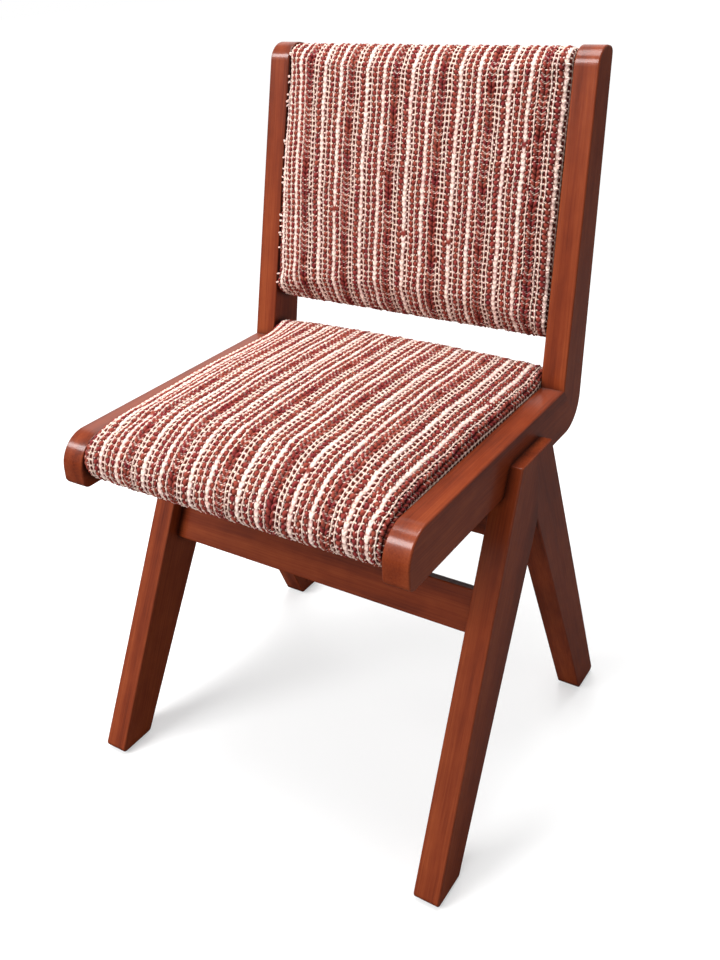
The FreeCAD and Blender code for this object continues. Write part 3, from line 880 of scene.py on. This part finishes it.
@dataclass
class Upholstery:
    """Seat, back and outside of the back, each in the striped cloth."""

    rail_top: float
    loops_per_side: int = 24
    loop_radius: float = 1.6 * MM
    loop_yarn: float = 0.6 * MM

    def __post_init__(self) -> None:
        """Read the places that the frame gives."""
        self.seat_low, self.seat_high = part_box("seat_cover")
        self.inner_corner = Vector((0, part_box("back_post_right")[0].y, self.rail_top))
        self.material = ClothFinish().material()

    def on_back(self, x: Array, along: Array, out: Array) -> Array:
        """Points given across the chair, up the posts' front faces and out from them."""
        y = self.inner_corner.y + along * math.sin(POST_LEAN) - out * math.cos(POST_LEAN)
        z = self.inner_corner.z + along * math.cos(POST_LEAN) + out * math.sin(POST_LEAN)
        return np.stack([x, y, z], axis=-1)

    def behind_back(self, x: Array, along: Array, out: Array) -> Array:
        """Points given across the chair from behind, up the posts and back from their fronts."""
        return self.on_back(-x, along, -out)

    @staticmethod
    def on_seat(x: Array, along: Array, out: Array) -> Array:
        """Points given across the chair, backwards and up."""
        return np.stack([x, along, out], axis=-1)

    def seat(self) -> PaddedForm:
        """The seat, rolled over its front edge."""
        front, rear, hem = self.seat_low.y, self.seat_high.y, self.seat_low.z + 2 * MM
        middle = (front + rear) / 2
        top = self.rail_top
        belt = [(front + 32 * MM, hem, 0), (front, hem, 25 * MM), (front, top - 5 * MM, 34 * MM),
                (front + 47 * MM, top + 27 * MM, 90 * MM), (middle, top + 31.5 * MM, 1.5),
                (rear, top + 27 * MM, 36 * MM), (rear, hem, 8 * MM), (rear - 14 * MM, hem, 0)]
        cloth = StripedCloth(
            repeat=64.2 * MM, pitch=7.4 * MM, centre=25.3 * MM, steps=9, seed=11)
        return PaddedForm(
            "seat_cushion", self.seat_high.x, belt, self.on_seat, cloth, roll=22 * MM,
            wall=14 * MM, crown=13 * MM, hem=52 * MM, cap=3 * MM, close_at=hem + 1 * MM,
            end_roll=9 * MM, ease=90 * MM)

    def back(self) -> PaddedForm:
        """The front of the back, rolled over its upper and lower edges."""
        low, high, rear, under = 57 * MM, 386.6 * MM, -36 * MM, 9 * MM
        belt = [(low + under, rear, 0), (low, rear, 5 * MM), (low, 4 * MM, 25 * MM),
                ((low + high) / 2, 9 * MM, 1.3), (high, 3 * MM, 20 * MM), (high, rear, 5 * MM),
                (high - under, rear, 0)]
        cloth = StripedCloth(
            repeat=63.5 * MM, pitch=7.0 * MM, centre=0.3 * MM, steps=9, seed=5,
            skew=-0.024, fan=0.072)
        return PaddedForm(
            "back_cushion", self.seat_high.x, belt, self.on_back, cloth, roll=15 * MM,
            wall=8 * MM, crown=1 * MM, hem=45 * MM, cap=4 * MM, close_at=rear + 2 * MM,
            end_roll=7 * MM, end_crown=0.25)

    def outside_back(self) -> PaddedForm:
        """The covered panel that closes the back from behind."""
        low, high, rear = 65 * MM, 378.6 * MM, 36 * MM
        edge, rim = rear - 2.4 * MM, rear + 0.6 * MM
        belt = [(low, edge, 0), (low, rim, 2 * MM), ((low + high) / 2, rear + 2.4 * MM, 3.0),
                (high, rim, 2 * MM), (high, edge, 0)]
        cloth = StripedCloth(
            repeat=63.5 * MM, pitch=7.0 * MM, centre=12 * MM, steps=7, seed=23)
        return PaddedForm(
            "back_outside_panel", 190.4 * MM, belt, self.behind_back, cloth, roll=2.5 * MM,
            wall=1 * MM, crown=1.5 * MM, hem=4 * MM, cap=1 * MM, close_at=rear - 2.5 * MM,
            end_roll=2.5 * MM)

    def yarn_loops(self, back: PaddedForm) -> Piece:
        """Loose loops of yarn along both sides of the back."""
        random = np.random.default_rng(7)
        deselect()
        bpy.ops.mesh.primitive_torus_add(
            major_segments=12, minor_segments=6, major_radius=self.loop_radius,
            minor_radius=self.loop_yarn)
        first = bpy.context.object
        stretch(first, (1.0, 0.65, 1.4))
        first.data.shade_smooth()
        low, high = back.belt[2][0] + 16 * MM, back.belt[4][0] - 12 * MM
        places = []
        for side in (-1, 1):
            for along in random.uniform(low, high, self.loops_per_side):
                across = side * (back.half - random.uniform(2.4, 4.2) * MM)
                level = random.uniform(2.5, 3.2) * MM
                spot = self.on_back(np.array(across), np.array(along), np.array(level))
                turn = Euler(tuple(random.uniform(-0.7, 0.7, 3)), "XYZ").to_matrix().to_4x4()
                places.append(Matrix.Translation(Vector(spot)) @ turn)
        return scatter(first, places, "back_yarn_loops")

    def build(self) -> None:
        """Make and dress the padded pieces and the loose loops."""
        back = self.back()
        for form, slot, stands_for in (
                (self.seat(), "striped_fabric", ("seat_cover", "seat_foam")),
                (back, "striped_fabric", ("back_cover", "back_foam")),
                (self.outside_back(), "covered_panel", ("back_rear_panel",))):
            piece = form.build()
            dress(piece, self.material, stands_for)
        yarn = SpeckledFinish("yarn", (0.70, 0.44, 0.37), (0.96, 0.80, 0.72), 900.0, 0.0003, 0.95)
        dress(self.yarn_loops(back), yarn.material())


@dataclass
class SeatUnderside:
    """Thin dark cloth under the seat, stapled along its hems."""

    thickness: float = 0.6 * MM
    sag: float = 3.0 * MM
    cells_across: int = 78
    cells_along: int = 70
    staple_width: float = 10 * MM
    staple_wire: float = 0.9 * MM
    staple_spacing: float = 42 * MM

    def __post_init__(self) -> None:
        """Read the room that the frame keeps for the cloth."""
        self.low, self.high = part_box("seat_dust_cover")

    def sheet(self) -> Piece:
        """The cloth, pulled flat at its hems and hanging a little between them."""
        across, along = np.meshgrid(np.linspace(-0.5, 0.5, self.cells_across + 1),
                                    np.linspace(-0.5, 0.5, self.cells_along + 1), indexing="ij")
        x = across * (self.high.x - self.low.x - 1 * MM)
        y = (self.low.y + self.high.y) / 2 + along * (self.high.y - self.low.y)
        from_side, from_end = 0.5 - np.abs(across), 0.5 - np.abs(along)
        edge = np.minimum(from_side, from_end)
        free = np.clip(edge / 0.18, 0, 1)
        pucker = np.sin(x / (6.7 * MM)) * np.exp(-from_end / 0.06)
        pucker = pucker + np.sin(y / (6.7 * MM)) * np.exp(-from_side / 0.06)
        crease = np.sin(x / (31 * MM) + y / (47 * MM))
        crease = crease + 0.6 * np.sin(x / (17 * MM) - y / (23 * MM))
        hem = np.clip(edge / 0.012, 0, 1)
        drop = self.sag * free ** 2 * (3 - 2 * free)
        drop = drop + 0.25 * MM * pucker * hem + 0.3 * MM * crease * free
        z = self.high.z - 0.4 * MM - drop
        piece = new_grid("seat_dust_cover_cloth", np.stack([x, y, z], axis=-1))[0]
        solid = piece.modifiers.new("thickness", "SOLIDIFY")
        solid.thickness = self.thickness
        solid.offset = 0.0
        make_active(piece)
        bpy.ops.object.modifier_apply(modifier="thickness")
        piece.data.shade_smooth()
        return piece

    def staple(self) -> Piece:
        """The crown of one staple, whose legs are out of sight in the rail."""
        deselect()
        bpy.ops.mesh.primitive_cube_add(size=1.0)
        piece = bpy.context.object
        stretch(piece, (self.staple_width, self.staple_wire, self.staple_wire))
        bevel = piece.modifiers.new("round", "BEVEL")
        bevel.width = 0.28 * self.staple_wire
        bevel.segments = 2
        bpy.ops.object.modifier_apply(modifier="round")
        piece.data.shade_smooth()
        return piece

    def staples(self) -> Piece:
        """A row of staples along the front and rear hems."""
        count = int((self.high.x - self.low.x - 30 * MM) / self.staple_spacing)
        places = []
        for y in (self.low.y + 7 * MM, self.high.y - 24 * MM):
            for number in range(count + 1):
                x = (number - count / 2) * self.staple_spacing
                lean = math.radians(11 * math.sin(5.3 * number + 900 * y))
                spot = Matrix.Translation((x, y, self.high.z - 1.1 * MM))
                places.append(spot @ Matrix.Rotation(lean, 4, "Z"))
        return scatter(self.staple(), places, "seat_dust_cover_staples")

    def build(self) -> None:
        """Make and dress the cloth and its staples."""
        felt = SpeckledFinish(
            "dust_cloth", (0.012, 0.012, 0.013), (0.045, 0.044, 0.046), grain=1700.0,
            depth=0.0004, roughness=0.92, sheen=0.15)
        sheet = self.sheet()
        dress(sheet, felt.material(), ("seat_dust_cover",))
        steel = replace(PLATED_STEEL, name="staple_steel")
        dress(self.staples(), steel.material())


@dataclass
class WoodFrame:
    """Rails, posts, legs and crossbars, which keep their solids."""

    front_leg_lean: float = math.radians(26.3)
    rear_leg_lean: float = math.radians(-19.3)
    finish: WoodFinish = WoodFinish(
        "stained_wood", (0.078, 0.0100, 0.0025), (0.172, 0.0262, 0.0058), (0.246, 0.0462, 0.0112),
        roughness=0.50, coat=0.45, coat_roughness=0.19, grain_depth=0.00025)

    def dress(self) -> None:
        """Give each piece the stain with its own grain."""
        leans = {"seat_rail": QUARTER_TURN, "back_post": POST_LEAN,
                 "front_leg": self.front_leg_lean, "rear_leg": self.rear_leg_lean}
        turns = [(f"{name}_{side}", (lean, 0.0, 0.0))
                 for name, lean in leans.items() for side in ("left", "right")]
        turns += [(f"{end}_crossbar", (0.0, -QUARTER_TURN, 0.0)) for end in ("front", "rear")]
        for index, (node, turn) in enumerate(turns, start=1):
            shift = (0.37 * index, 0.53 * index, 0.29 * index)
            cover(node, self.finish.material(turn, shift, node))


@dataclass
class InnerParts:
    """Bare timber, boards, foam, fasteners and glides."""

    timber: WoodFinish = WoodFinish(
        "bare_wood", (0.34, 0.20, 0.10), (0.50, 0.33, 0.18), (0.62, 0.45, 0.27), roughness=0.62,
        coat=0.0, coat_roughness=0.3, grain_depth=0.0004)
    foam: SpeckledFinish = SpeckledFinish(
        "foam", (0.62, 0.52, 0.30), (0.80, 0.70, 0.46), grain=1400.0, depth=0.0008, roughness=0.9)
    glide: SpeckledFinish = SpeckledFinish(
        "glide", (0.020, 0.018, 0.016), (0.045, 0.040, 0.036), grain=1600.0, depth=0.0001,
        roughness=0.5)

    def dress(self) -> None:
        """Give each hidden or small node its finish."""
        across = self.timber.material((0.0, -QUARTER_TURN, 0.0), (0.2, 0.1, 0.4), "across")
        along = self.timber.material((QUARTER_TURN, 0.0, 0.0), (0.6, 0.3, 0.1), "along")
        finishes = {
            "inner_wood": across, "plywood": along, "dowel_wood": across,
            "foam": self.foam.material(), "screw_steel": PLATED_STEEL.material(),
            "glide_plastic": self.glide.material()}
        for part in frame["record"]["subparts"]:
            if part["material_slot"] in finishes:
                cover(part["node"], finishes[part["material_slot"]])


@dataclass
class Studio:
    """Camera, light and floor."""

    place: Vector = Vector((0.6436, -0.9209, 0.9561))
    azimuth: float = math.radians(33.929)
    elevation: float = math.radians(21.554)
    roll: float = math.radians(-3.408)
    lens: float = 39.21
    shift: float = -7 / 48
    film: float = 36.0
    floor_size: float = 24.0
    fade: tuple[float, float] = (0.7, 2.2)

    def camera(self) -> None:
        """Stand the camera where the picture was taken from."""
        deselect()
        bpy.ops.object.camera_add()
        camera = bpy.context.object
        camera.name = "picture_camera"
        data = camera.data
        data.sensor_fit = "VERTICAL"
        data.sensor_height = self.film
        data.lens = self.lens
        data.shift_y = self.shift
        turns = [Matrix.Rotation(self.azimuth, 4, "Z"),
                 Matrix.Rotation(QUARTER_TURN - self.elevation, 4, "X"),
                 Matrix.Rotation(self.roll, 4, "Z")]
        camera.matrix_world = Matrix.Translation(self.place) @ turns[0] @ turns[1] @ turns[2]
        bpy.context.scene.camera = camera

    def lamp(self, name: str, place: Corner, target: Corner, size: float, power: float) -> Piece:
        """Add a square soft light.

        Args:
            name: Name of the light.
            place: Where it hangs.
            target: What it points at.
            size: Length of its side.
            power: Its power in watts.

        Returns:
            The light.
        """
        deselect()
        bpy.ops.object.light_add(type="AREA", location=place)
        lamp = bpy.context.object
        lamp.name = name
        lamp.data.size = size
        lamp.data.energy = power
        lamp.rotation_mode = "QUATERNION"
        lamp.rotation_quaternion = (Vector(target) - Vector(place)).to_track_quat("-Z", "Y")
        return lamp

    def light(self) -> None:
        """Hang the lights and set the bright surroundings."""
        key = self.lamp("key_light", (-1.75, -2.65, 2.5), (0.0, 0.0, 0.45), 2.1, 146.0)
        key.visible_glossy = False
        glint = self.lamp("glint_light", (-2.1, -2.0, 2.9), (-2.1, -0.2, 0.45), 2.8, 190.0)
        glint.data.shape = "RECTANGLE"
        glint.data.size_y = 0.9
        glint.visible_diffuse = False
        self.lamp("backdrop_light", (-1.45, 1.95, 1.55), (0.0, 0.0, 0.45), 2.4, 19.0)
        self.lamp("top_light", (-0.2, 0.1, 3.2), (0.0, 0.0, 0.4), 1.6, 96.0)
        world = bpy.data.worlds.new("surroundings")
        world.use_nodes = True
        tree = world.node_tree
        sky = tree.nodes["Background"]
        rays = tree.nodes.new("ShaderNodeLightPath")
        spread = tree.nodes.new("ShaderNodeMapRange")
        spread.inputs["To Min"].default_value = 0.41
        tree.links.new(rays.outputs["Is Camera Ray"], spread.inputs["Value"])
        tree.links.new(spread.outputs["Result"], sky.inputs["Strength"])
        sky.inputs["Color"].default_value = (1.0, 1.0, 1.0, 1.0)
        bpy.context.scene.world = world
        bpy.context.scene.view_settings.view_transform = "Standard"

    def floor(self) -> None:
        """Lay a plain pale floor."""
        deselect()
        bpy.ops.mesh.primitive_plane_add(size=self.floor_size)
        floor = bpy.context.object
        floor.name = "floor"
        shader = Shader("pale_floor")
        spot = shader.spot()
        far = shader.add("ShaderNodeVectorMath", {0: spot}, operation="LENGTH").outputs["Value"]
        rays = shader.add("ShaderNodeLightPath").outputs
        seen = rays["Is Camera Ray"]
        clouds = shader.noise(spot, 0.8, 2.0)
        tone = shader.ramp(clouds, [(0.3, (0.545, 0.545, 0.545)), (0.7, (0.565, 0.565, 0.565))])
        tone = shader.mix(shader.spread(far, *self.fade, 0.0, 1.0), tone, (0.02, 0.02, 0.02))
        tone = shader.mix(seen, (0.40, 0.40, 0.40), tone)
        sideways = shader.add("ShaderNodeSeparateXYZ", {"Vector": spot}).outputs["X"]
        mirrored = shader.spread(sideways, 0.0, 0.6, 0.03, 0.14)
        tone = shader.mix(rays["Is Glossy Ray"], tone, mirrored)
        glow = shader.times(seen, shader.spread(far, *self.fade, 0.45, 1.0))
        floor.data.materials.append(shader.finish(
            Base_Color=tone, Roughness=0.9, Emission_Color=(1.0, 1.0, 1.0),
            Emission_Strength=glow))

    def build(self) -> None:
        """Make the whole studio."""
        self.camera()
        self.light()
        self.floor()


def main() -> None:
    """Build and dress the chair, piece by piece."""
    logging.basicConfig(level=logging.INFO, format="%(name)s: %(message)s")
    rail_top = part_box("seat_rail_right")[1].z
    Studio().build()
    WoodFrame().dress()
    InnerParts().dress()
    Upholstery(rail_top).build()
    SeatUnderside().build()


if __name__ == "__main__":
    main()
